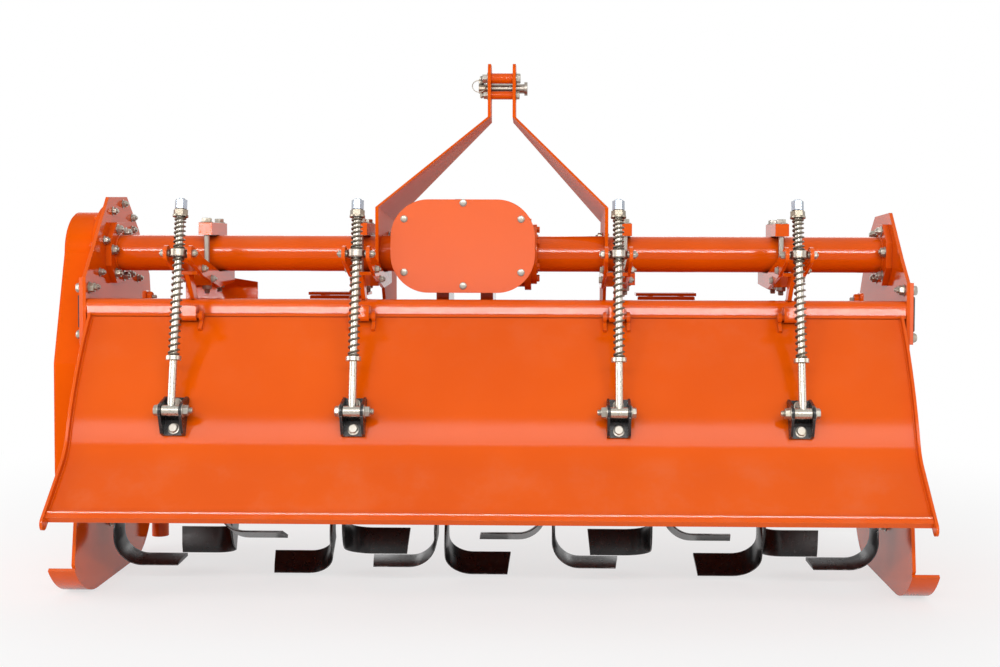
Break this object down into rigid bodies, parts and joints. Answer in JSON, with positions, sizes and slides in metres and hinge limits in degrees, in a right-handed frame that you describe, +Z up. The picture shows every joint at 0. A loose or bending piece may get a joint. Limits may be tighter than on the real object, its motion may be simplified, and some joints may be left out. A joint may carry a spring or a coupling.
{
  "type": "rotary tiller",
  "caption": "Tractor-mounted rotary tiller: tined rotor under a hood, gearbox with side drive, three-point mast, skids and a hinged trailing board held by spring rods.",
  "frame": {"origin": "middle of the bounding box, on the floor", "axes": "+X to the machine's right, along the rotor; +Y forward to the tractor; +Z up"},
  "size_m": [2.07, 0.9048, 1.294],
  "materials": {
    "orange_paint": "gloss orange enamel",
    "zinc_steel": "bright zinc plate",
    "black_paint": "satin black enamel",
    "tine_steel": "black forged steel, bright where worn"
  },
  "bodies": {
    "frame": {"main_tube_left": "orange_paint", "main_tube_right": "orange_paint", "gearbox_housing": "orange_paint", "gearbox_cover": "orange_paint", "pto_guard": "black_paint", "side_plate_left": "orange_paint", "side_plate_right": "orange_paint", "side_strap_left": "orange_paint", "side_strap_right": "orange_paint", "side_gear_case": "orange_paint", "bearing_hub_left": "orange_paint", "bearing_hub_right": "orange_paint", "skid_left": "orange_paint", "skid_right": "orange_paint", "hood": "orange_paint", "hinge_bar": "orange_paint", "front_beam": "orange_paint", "rod_bracket_1": "orange_paint", "rod_bracket_2": "orange_paint", "rod_bracket_3": "orange_paint", "rod_bracket_4": "orange_paint", "mast_arm_left": "orange_paint", "mast_arm_right": "orange_paint", "mast_spacers": "orange_paint", "top_link_pin": "zinc_steel", "lower_hitch_left": "orange_paint", "lower_hitch_right": "orange_paint", "stand_sleeve": "orange_paint"},
    "rotor": {"rotor_shaft": "orange_paint", "tines_left_hand": "tine_steel", "tines_right_hand": "tine_steel"},
    "pto_drive": {"input_shaft": "zinc_steel"},
    "board": {"trailing_board": "orange_paint", "board_edging": "orange_paint", "rod_clevises": "black_paint", "hinge_pins": "orange_paint"},
    "spring_rods": {"rod_1": "zinc_steel", "rod_2": "zinc_steel", "rod_3": "zinc_steel", "rod_4": "zinc_steel", "lower_springs": "zinc_steel", "upper_springs": "zinc_steel"},
    "rod_swivels": {"swivels": "zinc_steel"},
    "stand": {"stand_leg": "orange_paint"}
  },
  "joints": [
    {"name": "rotor_spin", "type": "hinge", "parent": "frame", "child": "rotor", "pos_m": [0.015, 0.06243, 0.253], "axis": [1, 0, 0], "continuous": true},
    {"name": "pto_spin", "type": "hinge", "parent": "frame", "child": "pto_drive", "pos_m": [0.015, 0.32243, 0.816], "axis": [0, 1, 0], "continuous": true},
    {"name": "board_hinge", "type": "hinge", "parent": "frame", "child": "board", "pos_m": [0.015, -0.13907, 0.653], "axis": [-1, 0, 0], "range_deg": [0, 25], "deforming": ["lower_springs"]},
    {"name": "rod_pivot", "type": "hinge", "parent": "board", "child": "spring_rods", "pos_m": [0.015, -0.30249, 0.45167], "axis": [-1, 0, 0], "range_deg": [-9.14, 1]},
    {"name": "swivel_pivot", "type": "hinge", "parent": "frame", "child": "rod_swivels", "pos_m": [0.015, -0.23157, 0.798], "axis": [-1, 0, 0], "range_deg": [-1, 17.86]},
    {"name": "stand_slide", "type": "slide", "parent": "frame", "child": "stand", "axis": [0, 0, 1], "range_m": [-0.026, 0.2]}
  ],
  "couplings": [
    {"joint": "pto_spin", "follows": "rotor_spin", "ratio": 2.57},
    {"joint": "rod_pivot", "follows": "board_hinge", "ratio": -0.3255},
    {"joint": "swivel_pivot", "follows": "board_hinge", "ratio": 0.6745}
  ]
}
